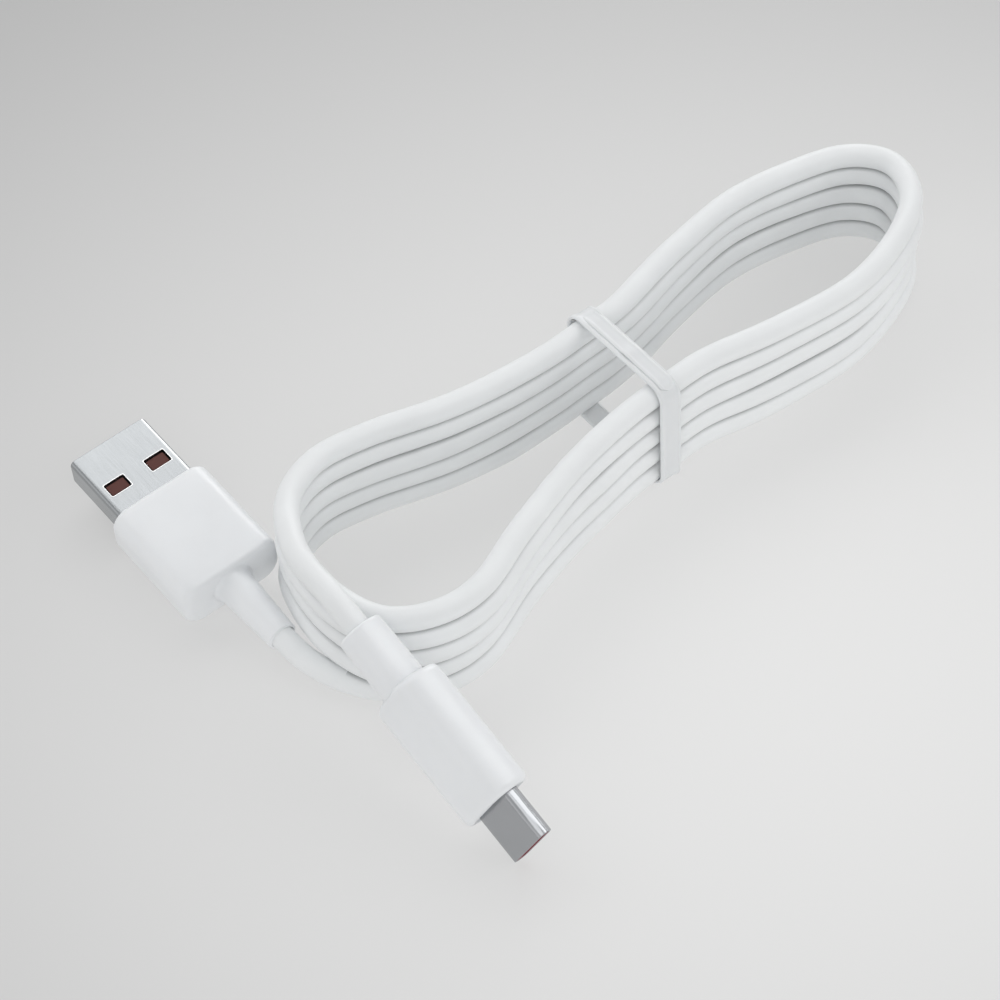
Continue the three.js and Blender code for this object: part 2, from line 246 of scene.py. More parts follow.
jacket = plastic("jacket_white", (0.875, 0.89, 0.895), 0.46, specular=0.35, groove_shade=0.36)
housing_white = plastic("plug_white", (0.885, 0.90, 0.915), 0.32, grain=3400, depth=0.008, glow=0.1)
milky = plastic("tie_milky", (0.80, 0.815, 0.825), 0.34, grain=1500, glow=0.3, specular=0.45)

looks = {
    "cord_jacket": jacket,
    "plug_plastic": housing_white,
    "tie_strip": milky,
    "plug_steel": metal("plug_nickel", (0.43, 0.44, 0.455), 0.2, depth=0.0012, change=0.025),
    "brown_insulator": plastic("insulator_brown", (0.115, 0.045, 0.038), 0.6, specular=0.15),
    "red_insulator": plastic("insulator_red", (0.23, 0.025, 0.04), 0.42),
    "gold_contact": metal("contact_gold", (0.83, 0.60, 0.25), 0.22),
    "inner_mould": plastic("inner_mould", (0.62, 0.58, 0.48), 0.5),
    "circuit_board": plastic("board_green", (0.02, 0.16, 0.07), 0.4),
    "resistor_ceramic": plastic("resistor_black", (0.02, 0.02, 0.022), 0.35),
    "copper_crimp": metal("crimp_copper", (0.72, 0.38, 0.22), 0.3),
    "wire_red": plastic("wire_red", (0.50, 0.04, 0.03), 0.4),
    "wire_white": plastic("wire_white", (0.78, 0.78, 0.75), 0.4),
    "wire_green": plastic("wire_green", (0.04, 0.27, 0.08), 0.4),
    "wire_black": plastic("wire_black", (0.02, 0.02, 0.02), 0.4),
}
# The USB-A shell's nickel is a copy of the USB-C one's, made darker as painted shade on its sides, and its
# windows' edges are a bright metal that paints a highlight.
usb_a_nickel_painted_shade = metal("plug_nickel_painted_shade", (0.405, 0.42, 0.43), 0.2, depth=0.0012, change=0.025)
painted_highlight_edge = metal("plug_nickel_painted_highlight", (0.95, 0.95, 0.95), 0.35, depth=0.001, change=0.02)

# The floor's glow, and its fall-off away from one place, are painted light.
floor_albedo, floor_glow = 0.30, 0.52


def floor_material():
    """A table with a painted pool of light: pale, glowing a little as painted light, and dimmer away from its
    brightest place.
    """
    bright_place, reach, dimmest = (-0.010, -0.044, 0), 0.25, 0.5
    made, nodes, links, shader = node_material("floor_pale")
    place = nodes.new("ShaderNodeTexCoord")
    far = nodes.new("ShaderNodeVectorMath")
    far.operation = "DISTANCE"
    far.inputs[1].default_value = bright_place
    links.new(place.outputs["Object"], far.inputs[0])
    fall = nodes.new("ShaderNodeMapRange")
    fall.interpolation_type = "SMOOTHSTEP"
    fall.inputs["From Max"].default_value = reach
    links.new(far.outputs["Value"], fall.inputs["Value"])
    for socket, level in (("Base Color", floor_albedo), ("Emission Color", 1.0)):
        ramp = nodes.new("ShaderNodeValToRGB")
        ramp.color_ramp.elements[0].color = (level, level, level * 0.995, 1)
        ramp.color_ramp.elements[1].color = (level * dimmest, level * dimmest, level * dimmest, 1)
        links.new(fall.outputs["Result"], ramp.inputs["Fac"])
        links.new(ramp.outputs["Color"], shader.inputs[socket])
    shader.inputs["Emission Strength"].default_value = floor_glow
    shader.inputs["Roughness"].default_value = 0.6
    shader.inputs["Specular IOR Level"].default_value = 0.1
    bumped(nodes, links, noise(nodes, links, 900, 2), 0.01 * MM, 0.35, shader)
    return made


def dress(thing, slot, body=None, *nodes, look=None):
    """Gives a piece the material of its slot, lets it ride, and hides the CAD nodes that it stands for."""
    thing.data.materials.clear()
    thing.data.materials.append(look or looks[slot])
    if body:
        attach(thing, body)
    if nodes:
        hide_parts(*nodes)
    return thing


# ---------------------------------------------------------------- mesh making
side_steps = (0.14, 0.05, -0.05, -0.14)  # heights of the points on a ring's straight sides
broad_steps = (0.2, 0.4, 0.6, 0.8)  # places of the points along a ring's broad faces
corner_points, end_rings, lip_rings = 8, 6, 6


def new_object(name, vertices, faces, sharp=40):
    """A smooth mesh object, in which an edge stays sharp where it turns by more than `sharp` degrees."""
    mesh = bpy.data.meshes.new(name)
    mesh.from_pydata([tuple(v) for v in vertices], [], faces)
    work = bmesh.new()
    work.from_mesh(mesh)
    bmesh.ops.recalc_face_normals(work, faces=work.faces)
    work.to_mesh(mesh)
    work.free()
    thing = bpy.data.objects.new(name, mesh)
    bpy.context.scene.collection.objects.link(thing)
    smooth(thing, sharp)
    return thing


def smooth(thing, sharp):
    thing.data.shade_smooth()
    thing.data.set_sharp_from_angle(angle=math.radians(sharp))


def loft(name, rings, caps=True, closed=False, sharp=40):
    """A surface through rings of points with the same count; closed joins the last ring to the first."""
    count, total = len(rings[0]), len(rings) * len(rings[0])
    faces = []
    for row in range(len(rings) if closed else len(rings) - 1):
        for i in range(count):
            j = (i + 1) % count
            a, b = row * count, (row + 1) * count % total
            faces.append((a + i, a + j, b + j, b + i))
    if caps and not closed:
        faces.append(tuple(range(count)))
        faces.append(tuple(range(total - count, total)))
    return new_object(name, [point for points in rings for point in points], faces, sharp)


def ring(width, height, corner, z, crown=0.0):
    """A rounded rectangle at height z, whose broad faces stand out by the share `crown` in their middle."""
    points = []
    for quarter, (side_x, side_y) in enumerate([(1, 1), (-1, 1), (-1, -1), (1, -1)]):
        for step in range(corner_points + 1):
            angle = (quarter + step / corner_points) * math.pi / 2
            x = side_x * (width / 2 - corner) + corner * math.cos(angle)
            y = side_y * (height / 2 - corner) + corner * math.sin(angle)
            points.append([x, y * (1 + crown * (1 - (2 * x / width) ** 2)), z])
        if quarter in (1, 3):
            points += [[side_x * width / 2, y * side_y, z] for y in side_steps]
        else:
            for part in broad_steps:
                x = side_x * (width / 2 - corner) * (1 - 2 * part)
                y = side_y * height / 2
                points.append([x, y * (1 + crown * (1 - (2 * x / width) ** 2)), z])
    return points


def between(ring_a, ring_b, part, z):
    """A ring that is the share `part` of the way from one ring to another, at height z."""
    return [[a[0] + (b[0] - a[0]) * part, a[1] + (b[1] - a[1]) * part, z] for a, b in zip(ring_a, ring_b)]


def rounded_end(width, height, corner, z, inward, side, broad, deep, crown):
    """Rings that round off an end at z: `side` at its sides, `broad` at its broad faces, `deep` along z.

    inward is +1 at a rear end and -1 at a front end.
    """
    rings = []
    for step in range(end_rings + 1):
        angle = step / end_rings * math.pi / 2
        inset = 1 - math.sin(angle)
        at = z + inward * deep * (1 - math.cos(angle))
        shape = (width - 2 * side * inset, height - 2 * broad * inset, corner - min(side, broad) * inset)
        rings.append(ring(*shape, at, crown))
    return rings if inward > 0 else rings[::-1]


def lipped_shell(name, width, height, corner, wall, levels, front, lip):
    """A tube of sheet metal along z, its front edge rounded over `lip`; levels are its rings behind that."""
    straight = [*levels, front - lip]
    rings = [ring(width, height, corner, z) for z in straight]
    for step in range(1, lip_rings):
        angle = step / lip_rings * math.pi
        inset = wall / 2 * (1 - math.cos(angle))
        z = front - lip + lip * math.sin(angle)
        rings.append(ring(width - 2 * inset, height - 2 * inset, corner - inset, z))
    inner = (width - 2 * wall, height - 2 * wall, corner - wall)
    rings += [ring(*inner, z) for z in reversed(straight)]
    return loft(name, rings, closed=True)


def circle(radius, z):
    count = 32
    angles = np.linspace(0, 2 * math.pi, count, False)
    return [[radius * math.cos(a), radius * math.sin(a), z] for a in angles]


def block(name, width, height, z0, z1, x=0.0, y=0.0):
    """A plain box, used only as a cutter."""
    sides = [(-1, -1), (1, -1), (1, 1), (-1, 1)]
    corners = [(x + sx * width / 2, y + sy * height / 2, z) for z in (z0, z1) for sx, sy in sides]
    faces = [(0, 1, 2, 3), (4, 5, 6, 7)] + [(i, (i + 1) % 4, (i + 1) % 4 + 4, i + 4) for i in range(4)]
    return new_object(name, corners, faces)


def carved(thing, cutters, bevel=0.0, sharp=40):
    """Cuts the cutters out of a piece, softens the edges that the cuts leave, and keeps flat faces flat."""
    for cutter in cutters:
        cut = thing.modifiers.new("cut", "BOOLEAN")
        cut.operation = "DIFFERENCE"
        cut.object = cutter
    if bevel:
        soft = thing.modifiers.new("soft", "BEVEL")
        soft.width = bevel
        soft.segments = 3
        soft.limit_method = "ANGLE"
        soft.angle_limit = math.radians(50)
    apply_modifiers(thing)
    for cutter in cutters:
        bpy.data.objects.remove(cutter)
    smooth(thing, sharp)
    flat = thing.modifiers.new("flat", "WEIGHTED_NORMAL")
    flat.keep_sharp = True
    flat.weight = 90
    apply_modifiers(thing)
    return thing


def apply_modifiers(thing):
    bpy.context.view_layer.update()
    graph = bpy.context.evaluated_depsgraph_get()
    mesh = bpy.data.meshes.new_from_object(thing.evaluated_get(graph), depsgraph=graph)
    thing.modifiers.clear()
    thing.data = mesh


def in_plug(thing, place):
    """From millimetres in a plug's frame to metres, at the plug's place."""
    thing.data.transform(Matrix.Scale(MM, 4))
    thing.matrix_world = place
    return thing


# ---------------------------------------------------------------- the cord
cord_diameter = 0.0034
cord_radius = cord_diameter / 2
jacket_radius = cord_radius - 0.04 * MM  # so that neighbouring turns leave a hair of shadow between them
row_count = 5
hank_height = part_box("cord_hank")[1].z
row_pitch = (hank_height - cord_diameter) / (row_count - 1)

# The middle of one turn in plan, counter-clockwise from the waist's near side.
turn_plan = [
    (-0.0080, -0.0076), (0.0000, -0.0075), (0.0080, -0.0079), (0.0200, -0.0104), (0.0330, -0.0122),
    (0.0440, -0.0104), (0.0523, -0.0062), (0.0558, 0.0003), (0.0528, 0.0058), (0.0455, 0.0090),
    (0.0340, 0.0113), (0.0210, 0.0101), (0.0080, 0.0077), (0.0000, 0.0075), (-0.0090, 0.0078),
    (-0.0220, 0.0100), (-0.0340, 0.0140), (-0.0420, 0.0153), (-0.0493, 0.0123), (-0.0536, 0.0052),
    (-0.0555, -0.0030), (-0.0540, -0.0104), (-0.0485, -0.0146), (-0.0412, -0.0153), (-0.0310, -0.0120),
    (-0.0190, -0.0089),
]
near_corner, far_corner = 22, 17  # where a turn's level stretch starts and ends in turn_plan
climb_steps = 3  # how many places of turn_plan the climb to the next row takes
# The points between each plug's pivot and the hank, in the order in which the cord runs.
usb_a_lead = [(-0.0581, -0.0018, 0.0024), (-0.0567, -0.0060, 0.00185), (-0.0540, -0.0104, 0.00175)]
usb_c_lead = [(-0.0493, 0.0123, 0.0155), (-0.0545, 0.0054, 0.0170), (-0.0569, 0.0001, 0.0185),
              (-0.0579, -0.0049, 0.0189)]
inside_relief = 0.006  # how far the cord is followed past each pivot, into its strain relief
line_step = 0.0008  # between points of the cord's middle line
flex_length = 0.014  # flex_length = 0.014 # of each end stretch, which is drawn as a piece of its own

# Where the tie passes, the rows stand on its strip, tie_floor above the floor, and are pressed closer, up to
# tie_rise above the hank's own height. They do so for |x| under tie_flat, and not at all from tie_ease on.
tie_flat, tie_ease = 0.0056, 0.0150
tie_floor, tie_rise = 0.00055, 0.0001

near_arm_lean = 0.0009  # how far the lowest row of the near arm stands out beyond the highest
lean_grows, lean_fades = (-0.032, -0.012), (0.012, 0.044)  # in x

# Each wave of a hand-wound turn's wander: how far to the side, its length over two pi, and its start.
wander_waves = [(0.00016, 0.0173, 0.0), (0.00012, 0.0071, 1.3)]
wander_from, wander_full = 0.020, 0.050  # how far from the cord's ends it starts to wander, and wanders fully


def ease(value):
    value = min(1.0, max(0.0, value))
    return value * value * (3 - 2 * value)


def eased(value, start, end):
    """0 up to start, 1 from end on, and smooth between them."""
    return ease((value - start) / (end - start))


def turn_points(row):
    """One level turn of a row, then its climb to the next row round the hank's wide end."""
    count = len(turn_plan)
    height = cord_radius + row * row_pitch
    points = []
    last_row = row == row_count - 1
    for step in range(count):
        index = (near_corner + step) % count
        past_far_corner = step - (far_corner - near_corner) % count
        if last_row and past_far_corner > 0:
            break
        climb = ease(past_far_corner / climb_steps) * row_pitch
        points.append((*turn_plan[index], height + climb))
    return points


def curve_through(points, step):
    """A uniform Catmull-Rom curve through the points, sampled every `step` metres along it."""
    per_span = 24
    p = np.array(points, float)
    p = np.vstack([2 * p[0] - p[1], p, 2 * p[-1] - p[-2]])
    fine = []
    for i in range(1, len(p) - 2):
        s = np.linspace(0, 1, per_span, endpoint=False)[:, None]
        a, b, c, d = p[i - 1], p[i], p[i + 1], p[i + 2]
        curve = 2 * b + (c - a) * s + (2 * a - 5 * b + 4 * c - d) * s**2 + (3 * b - a - 3 * c + d) * s**3
        fine.append(0.5 * curve)
    return evenly(np.vstack([*fine, p[-2:-1]]), step)


def evenly(points, step):
    along = lengths(points)
    places = np.linspace(0, along[-1], max(2, round(along[-1] / step) + 1))
    return np.stack([np.interp(places, along, points[:, k]) for k in range(3)], axis=1)


def lengths(points):
    """How far along the line each of its points is."""
    return np.concatenate([[0], np.cumsum(np.linalg.norm(np.diff(points, axis=0), axis=1))])


def tangents(points):
    tangent = np.gradient(points, axis=0)
    return tangent / np.linalg.norm(tangent, axis=1)[:, None]


def away_from_tie(points):
    return np.array([eased(abs(x), tie_flat, tie_ease) for x in points[:, 0]])


def pressed_by_tie(points):
    pressed_pitch = (hank_height + tie_rise - tie_floor - cord_diameter) / (row_count - 1)
    rows = (points[:, 2] - cord_radius) / row_pitch
    target = tie_floor + cord_radius + rows * pressed_pitch
    points[:, 2] += (1 - away_from_tie(points)) * (target - points[:, 2])
    return points


def leaning(points):
    """The near arm's rows lean: each stands a little further out than the one above it."""
    for point in points:
        x, y, z = point
        if y < 0:
            middle = eased(x, *lean_grows) * (1 - eased(x, *lean_fades))
            below_top = 1 - (z - cord_radius) / (row_pitch * (row_count - 1))
            point[1] -= near_arm_lean * middle * below_top
    return points


def unevenly_wound(points):
    """Each turn wanders a little to either side of the one below it, as hand-wound turns do."""
    along = lengths(points)
    tangent = np.gradient(points, axis=0)
    side = np.stack([tangent[:, 1], -tangent[:, 0]], axis=1)
    side /= np.linalg.norm(side, axis=1)[:, None]
    wander = sum(reach * np.sin(along / length + start) for reach, length, start in wander_waves)
    from_end = np.minimum(along, along[-1] - along)
    quiet = np.array([eased(distance, wander_from, wander_full) for distance in from_end])
    points[:, :2] += side * (wander * quiet * away_from_tie(points))[:, None]
    return points


def cord_centreline():
    """The whole cord from inside one strain relief to inside the other."""
    nose_a, nose_c = usb_a_place.col[2].xyz, usb_c_place.col[2].xyz
    points = [usb_a_pivot + inside_relief * nose_a, usb_a_pivot, *usb_a_lead]
    for row in range(row_count):
        points += turn_points(row)
    points += [*usb_c_lead, usb_c_pivot, usb_c_pivot + inside_relief * nose_c]
    line = curve_through([tuple(p) for p in points], line_step)
    line = pressed_by_tie(leaning(unevenly_wound(line)))
    line[:, 2] = np.maximum(line[:, 2], cord_radius)
    return line


def tube_rings(points, radius):
    """The rings of a round tube along points, which don't twist."""
    sides = 20
    tangent = tangents(points)
    up = np.array([0.0, 0.0, 1.0])
    normal = up - tangent[0] * (tangent[0] @ up)
    angles = np.linspace(0, 2 * math.pi, sides, False)
    rings = []
    for point, along in zip(points, tangent):
        normal = normal - along * (along @ normal)
        normal /= np.linalg.norm(normal)
        other = np.cross(along, normal)
        rings.append([tuple(point + radius * (math.cos(a) * normal + math.sin(a) * other)) for a in angles])
    return rings


def make_cord():
    """The wound cord, and the two short ends by the plugs, cut from one run of rings."""
    line = cord_centreline()
    rings = tube_rings(line, jacket_radius)
    along = lengths(line)
    total = along[-1] - 2 * inside_relief
    first = int(np.searchsorted(along, flex_length))
    last = int(np.searchsorted(along, along[-1] - flex_length))
    wound = loft("cord_wound", rings[first:last + 1], caps=False)
    dress(wound, "cord_jacket", "hank", "cord_hank", "cord_lead_usb_a", "cord_lead_usb_c")
    ends = []
    for name, part, start, pivot, place, body in [
        ("cord_flex_usb_a", slice(first + 1), line[first], usb_a_pivot, usb_a_place, "usb_a_plug"),
        ("cord_flex_usb_c", slice(last, None), line[last], usb_c_pivot, usb_c_place, "usb_c_plug"),
    ]:
        flex = dress(loft(name, rings[part], caps=False), "cord_jacket")
        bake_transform(flex)
        ends.append(flex)
    return wound, ends, line[first:last + 1], total


cord, cord_ends, cord_line, cord_length = make_cord()


# ---------------------------------------------------------------- both plugs
shell_gap = 0.08  # between a shell and its hole in the housing, in millimetres


def sleeve(name, tip, root, rear, front, hole, edge, edge_steps, parts, foot, place):
    """A moulded sleeve round the cord, from its rear end to the housing's rear face at `front`.

    tip and root are its radii at the two. hole has the depths of the rings of the cord's hole in its rear
    end, and edge is that end's rounding. parts are shares of the way along it, and foot says how far its last
    rings stand out from the root, and where.
    """
    hole_radius = cord_radius / MM + 0.02
    rings = [circle(hole_radius, rear + z) for z in hole]
    for step in range(edge_steps + 1):
        angle = step / edge_steps * math.pi / 2
        rings.append(circle(tip - edge * (1 - math.sin(angle)), rear + edge * (1 - math.cos(angle))))
    rings += [circle(tip + (root - tip) * part, rear + (front - rear) * part) for part in parts]
    rings += [circle(root + flare, front + z) for flare, z in foot]
    return in_plug(loft(name, rings), place)


# ---------------------------------------------------------------- USB-A plug
usb_a_shell_width, usb_a_shell_height, usb_a_shell_corner = 12, 4.5, 0.8
usb_a_length = 16.6  # of the housing
usb_a_contact_places = (-3.5, -1, 1, 3.5)
window_places = (("left", -3.2), ("right", 3.2))
window_width, window_rear, window_front = 3.2, 3.4, 5.7
window_length, window_middle = window_front - window_rear, (window_rear + window_front) / 2


def usb_a_housing():
    width, height, corner, crown, length = 15, 7.3, 2.5, 0.02, usb_a_length
    rings = [ring(5, 4.6, 2.2, -length), ring(9, 5.4, 2.3, -length)]
    rings += rounded_end(width, height, corner, -length, 1, side=1.3, broad=0.7, deep=1.0, crown=crown)
    rings += [ring(width, height, corner, z, crown) for z in (-12, -8, -4)]
    rings += rounded_end(width, height, corner, 0, -1, side=0.8, broad=0.6, deep=0.7, crown=crown)
    hole = (usb_a_shell_width + shell_gap, usb_a_shell_height + shell_gap, usb_a_shell_corner)
    rings += [ring(*hole, 0), ring(*hole, -1.4)]
    housing = in_plug(loft("usb_a_housing_moulded", rings), usb_a_place)
    return dress(housing, "plug_plastic", "usb_a_plug", "usb_a_housing")


def usb_a_relief():
    """It tapers towards the cord and flares where it meets the housing."""
    relief = sleeve(
        "usb_a_relief_moulded",
        tip=2.05,
        root=2.6,
        rear=-27.5,
        front=-usb_a_length,
        hole=(0.5, 0),
        edge=0.25,
        edge_steps=4,
        parts=(0.15, 0.3, 0.45, 0.6, 0.75, 0.88),
        foot=[(0.06, -0.55), (0.16, -0.3), (0.34, -0.1), (0.55, 0.1)],
        place=usb_a_place,
    )
    return dress(relief, "plug_plastic", "usb_a_plug", "usb_a_strain_relief")


def usb_a_shell():
    """The rolled shell with its rims: latch windows through both broad faces, and a seam underneath."""
    rear, front, wall, lip = -6.5, 11.75, 0.3, 0.15
    size = (usb_a_shell_width, usb_a_shell_height, usb_a_shell_corner)
    shell = lipped_shell("usb_a_shell_rolled", *size, wall, (rear, 0, 5), front, lip)
    through = 2 * usb_a_shell_height
    window = (window_width, through, window_rear, window_front)
    cutters = [block("window", *window, across) for name, across in window_places]
    cutters.append(block("seam", 0.07, 0.3, rear - 1, front + 1, 0.4, -usb_a_shell_height / 2))
    shell = in_plug(carved(shell, cutters, bevel=0.14), usb_a_place)
    usb_a_window_edges()
    # Its darker nickel is painted shade.
    return dress(shell, "plug_steel", "usb_a_plug", "usb_a_shell", look=usb_a_nickel_painted_shade)


def behind_window(rings, across):
    """Rings that are drawn flat, turned to face out through the window at `across`."""
    return [[[x + across, z, window_middle - y] for x, y, z in points] for points in rings]


def usb_a_window_edges():
    """A raised rim round each of the upper windows, in a bright metal that paints a highlight on the window's
    edge, whose section is (how much wider, how high).
    """
    low, shoulder, crest, corner = 2.1, 2.275, 2.29, 0.25
    section = [(-0.02, low), (-0.02, shoulder), (0.06, crest), (0.16, shoulder), (0.16, low)]
    for name, across in window_places:
        rings = [ring(window_width + wider, window_length + wider, corner, y) for wider, y in section]
        rim = loft(f"usb_a_window_edge_{name}", behind_window(rings, across), closed=True)
        # The rim's bright metal is a painted highlight.
        dress(in_plug(rim, usb_a_place), "plug_steel", "usb_a_plug", look=painted_highlight_edge)


def usb_a_tongue():
    """The tongue, with a bevelled nose and a slot for each contact."""
    half_width, bottom, top, chamfer, rear = 5.6, 0.15, 1.35, 0.2, -6.2
    rings = []
    for z, inset in [(rear, 0), (10.7, 0), (11.1, 0.1), (11.3, 0.3)]:
        half, low, high = half_width - inset, bottom + inset / 2, top - inset / 2
        rings.append([[-half, low, z], [half, low, z], [half, high - chamfer, z], [half - chamfer, high, z],
                      [chamfer - half, high, z], [-half, high - chamfer, z]])
    tongue = loft("usb_a_tongue_moulded", rings, sharp=20)
    cutters = [block("slot", 1.3, 0.2, -7, 10.2, x, bottom) for x in usb_a_contact_places]
    tongue = in_plug(carved(tongue, cutters), usb_a_place)
    return dress(tongue, "brown_insulator", "usb_a_plug", "usb_a_insulator")


def usb_a_pads():
    """What each upper window shows: a brown pad that stands up from the tongue, ringed by a black piece that
    paints the shadow round it.
    """
    pad = [ring(2.75, 1.85, 0.2, 1.3), ring(2.75, 1.85, 0.2, 1.96), ring(2.6, 1.7, 0.15, 2.04)]
    painted_shadow = [ring(3.7, 2.8, 0.2, 1.36), ring(3.7, 2.8, 0.2, 1.5), ring(3.6, 2.7, 0.2, 1.54)]
    for name, across in window_places:
        # The black ring is painted shadow, in the place of a shaded gap round the pad.
        for kind, rings, slot in (("pad", pad, "brown_insulator"), ("painted_shadow", painted_shadow, "resistor_ceramic")):
            piece = in_plug(loft(f"usb_a_{kind}_{name}", behind_window(rings, across)), usb_a_place)
            dress(piece, slot, "usb_a_plug")


def usb_a_block():
    """The block that fills the rear of the shell below the tongue."""
    below_middle = 0.87
    rings = [ring(11.1, 1.95, 0.2, -6.2), ring(11.1, 1.95, 0.2, -1.2), ring(10.8, 1.65, 0.1, -1)]
    rings = [[[x, y - below_middle, z] for x, y, z in points] for points in rings]
    dress(in_plug(loft("usb_a_block_moulded", rings), usb_a_place), "brown_insulator", "usb_a_plug")


def contact_strip(name, width, thickness, x, y, rear, front, turn, place):
    """A stamped strip whose tip dives towards the tongue it lies on; turn is +1 where that is up."""
    tip = 3 * thickness
    route = [(rear, 0), (front - 3 * tip, 0), (front - 2 * tip, -0.3), (front - tip, -0.2), (front, 0.5)]
    rings = []
    for z, lift in route:
        middle = y + turn * lift * thickness
        half = width / 2 * (0.8 if z == front else 1)
        rings.append([[x - half, middle - thickness / 2, z], [x + half, middle - thickness / 2, z],
                      [x + half, middle + thickness / 2, z], [x - half, middle + thickness / 2, z]])
    strip = loft(name, rings, sharp=50)
    return in_plug(carved(strip, [], bevel=0.2 * thickness), place)


def usb_a_contacts():
    """The two outer contacts, for power, reach further forward than the two inner ones."""
    width, thickness, rear, front_of_outer, front_of_inner = 1.1, 0.22, -9, 10.6, 9.6
    for number, x in enumerate(usb_a_contact_places, start=1):
        front = front_of_outer if number in (1, 4) else front_of_inner
        node = f"usb_a_contact_{number}"
        strip = contact_strip(node + "_stamped", width, thickness, x, 0.0, rear, front, 1, usb_a_place)
        dress(strip, "gold_contact", "usb_a_plug", node)


usb_a_pieces = [usb_a_housing(), usb_a_relief(), usb_a_shell(), usb_a_tongue()]
usb_a_pads()
usb_a_block()
usb_a_contacts()


# ---------------------------------------------------------------- USB-C plug
usb_c_shell_width, usb_c_shell_height = 8.25, 2.4
usb_c_length = 18.2  # of the housing


def usb_c_housing():
    """An oval housing, with a dished front face round the shell."""
    width, height, corner, crown, length = 11.2, 6.5, 3.05, 0.012, usb_c_length
    rings = [ring(5.4, 5.4, 2.65, -length - 0.9), ring(5.7, 5.6, 2.75, -length - 0.45)]
    rings += rounded_end(width, height, corner, -length, 1, side=1.5, broad=0.4, deep=1.1, crown=crown)
    rings += [ring(width, height, corner, z, crown) for z in (-14, -9, -4)]
    rings += rounded_end(width, height, corner, 0, -1, side=0.8, broad=0.7, deep=0.9, crown=crown)
    rim = ring(width - 1.6, height - 1.4, corner - 0.7, 0)
    hole_height = usb_c_shell_height + shell_gap
    hole = ring(usb_c_shell_width + shell_gap, hole_height, hole_height / 2, 0)
    for part, z in [(0.12, -0.06), (0.35, -0.3), (0.65, -0.55), (0.88, -0.68), (1, -0.7), (1, -1.6)]:
        rings.append(between(rim, hole, part, z))
    housing = in_plug(loft("usb_c_housing_moulded", rings), usb_c_place)
    return dress(housing, "plug_plastic", "usb_c_plug", "usb_c_housing")


def usb_c_collar():
    """A stubby strain relief, nearly as wide as the housing is thick, which goes into the housing."""
    collar = sleeve(
        "usb_c_collar_moulded",
        tip=3.05,
        root=3.18,
        rear=-27.2,
        front=-usb_c_length,
        hole=(0.6, 0.05),
        edge=0.45,
        edge_steps=5,
        parts=(0.15, 0.3, 0.5, 0.7, 0.85),
        foot=[(-0.05, -0.5), (-0.12, 0.1), (-0.2, 0.9)],
        place=usb_c_place,
    )
    return dress(collar, "plug_plastic", "usb_c_plug", "usb_c_strain_relief")


def usb_c_shell():
    rear, front, wall, lip = -4.5, 6.65, 0.25, 0.12
    size = (usb_c_shell_width, usb_c_shell_height, usb_c_shell_height / 2)
    shell = in_plug(lipped_shell("usb_c_shell_drawn", *size, wall, (rear, 0, 3), front, lip), usb_c_place)
    return dress(shell, "plug_steel", "usb_c_plug", "usb_c_shell")


def usb_c_mouth():
    """The insulator that lines the shell, and the floor of its mouth, which is the piece returned."""
    rear, front = -4.5, 6.6
    outer, mouth = (7.72, 1.88, 0.93), (6.7, 0.9, 0.3)
    rings = [ring(*outer, z) for z in (rear, 0, front - 0.06)] + [ring(7.62, 1.78, 0.88, front)]
    rings += [ring(6.95, 1.15, 0.42, front)] + [ring(*mouth, z) for z in (front - 0.25, 0, rear)]
    insulator = loft("usb_c_insulator_moulded", rings, closed=True, sharp=30)
    dress(in_plug(insulator, usb_c_place), "red_insulator", "usb_c_plug", "usb_c_insulator")
    rings = [ring(6.68, 0.88, 0.29, -3.9), ring(6.68, 0.88, 0.29, -0.4), ring(6.4, 0.6, 0.2, -0.3)]
    return dress(in_plug(loft("usb_c_mouth_floor", rings), usb_c_place), "red_insulator", "usb_c_plug")


def usb_c_contacts():
    """Two rows that face each other across the mouth; the numbers of row b run the other way."""
    pitch, centre, from_middle = 0.5, 6.5, 0.36
    width, thickness, rear, front = 0.25, 0.11, -6, 5.85
    for row, numbers, side in (("a", (1, 4, 5, 6, 7, 9, 12), 1), ("b", (1, 4, 9, 12), -1)):
        for number in numbers:
            node = f"usb_c_contact_{row}{number}"
            x, y = side * (number - centre) * pitch, side * from_middle
            strip = contact_strip(node + "_stamped", width, thickness, x, y, rear, front, side, usb_c_place)
            dress(strip, "gold_contact", "usb_c_plug", node)


usb_c_pieces = [usb_c_housing(), usb_c_collar(), usb_c_shell(), usb_c_mouth()]
usb_c_contacts()


# ---------------------------------------------------------------- the tie
tie_width, tie_turn = 3.5, math.radians(-8)
tie_half_span, tie_low, tie_high, tie_corner = 9.95, 0.27, 17.35, 2.3
tie_half_thickness = 0.13
tie_corner_steps = 8

# Ribs along the strip: their place across it (-1 to 1), their spread, and their height in millimetres.
band_ribs = [(-0.76, 0.20, 0.13), (0.86, 0.10, 0.12)]
tail_ribs = [(-0.70, 0.16, 0.05), (0.72, 0.14, 0.06)]


def hump(value, middle, spread):
    """1 at the middle, falling smoothly to 0 on both sides of it."""
    return math.exp(-(((value - middle) / spread) ** 2))


def tie_loop():
    """The strip's middle line round the hank, in the plane across it: (across the hank, up)."""
    high, low, reach = tie_high - tie_corner, tie_low + tie_corner, tie_half_span - tie_corner
    line = []
    corners = [(reach, high), (-reach, high), (-reach - near_arm_lean / MM, low), (reach, low)]
    for quarter, (across, z) in enumerate(corners):
        for step in range(tie_corner_steps + 1):
            angle = (quarter + step / tie_corner_steps) * math.pi / 2
            line.append((across + tie_corner * math.cos(angle), z + tie_corner * math.sin(angle)))
    return line


